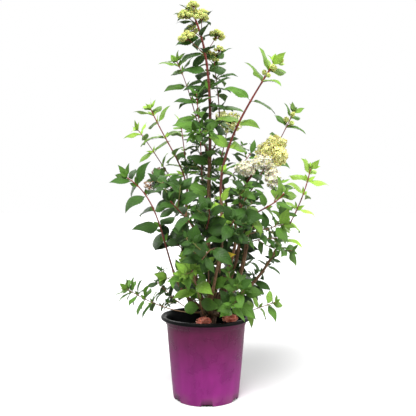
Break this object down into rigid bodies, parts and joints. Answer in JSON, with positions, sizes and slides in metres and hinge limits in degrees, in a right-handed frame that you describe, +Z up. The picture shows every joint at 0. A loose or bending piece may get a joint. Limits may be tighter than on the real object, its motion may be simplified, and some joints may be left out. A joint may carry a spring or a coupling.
{
  "type": "potted panicle hydrangea",
  "caption": "Potted panicle hydrangea shrub: upright woody canes, paired oval leaves, bud clusters and an open conical flower head, in a tapered round nursery pot with a rolled lip.",
  "frame": {"origin": "centre of the pot's flat underside", "axes": "+Z up, the pictured front faces -Y, and +X is to the right in the picture"},
  "size_m": [0.5351, 0.5346, 1.0179],
  "materials": {
    "pot": "satin moulded magenta purple outside, black lip and inside",
    "potting_mix": "damp shredded bark",
    "bark": "tan to brown bark",
    "foliage": "green leaves on red-brown twigs, with lime and cream blossom"
  },
  "bodies": {
    "root": {"pot": "pot", "potting_mix": "potting_mix", "trunk": "bark", "cane_leader": "bark", "cane_right_tall": "bark", "cane_bloom": "bark", "cane_far_right": "bark", "cane_pruned": "bark", "cane_arch": "bark", "cane_far_left": "bark", "cane_left": "bark", "cane_back_left": "bark", "cane_back": "bark", "cane_back_right": "bark", "cane_rear": "bark", "cane_front_left": "bark", "cane_front_right": "bark", "leader_top": "foliage", "leader_left_high": "foliage", "leader_left": "foliage", "leader_twin": "foliage", "right_tall": "foliage", "bloom_head": "foliage", "bloom_shoot": "foliage", "far_right": "foliage", "far_right_low": "foliage", "pruned_up": "foliage", "pruned_right": "foliage", "arch_right": "foliage", "arch_low": "foliage", "arch_up": "foliage", "far_left": "foliage", "left_tall": "foliage", "left_mid": "foliage", "left_inner": "foliage", "back_left": "foliage", "spent_panicle": "foliage", "back_tall": "foliage", "back_bloom": "foliage", "back_right": "foliage", "rear_mid": "foliage", "rear_right": "foliage", "rear_left": "foliage", "front_left": "foliage", "front_mid": "foliage", "front_right": "foliage", "front_centre": "foliage", "front_low": "foliage", "low_left": "foliage", "low_left_back": "foliage", "low_right": "foliage", "low_right_back": "foliage", "low_front_right": "foliage", "low_back": "foliage", "low_back_right": "foliage", "right_mid": "foliage", "core_left": "foliage", "core_front": "foliage", "core_right": "foliage", "core_back": "foliage"}
  },
  "joints": []
}
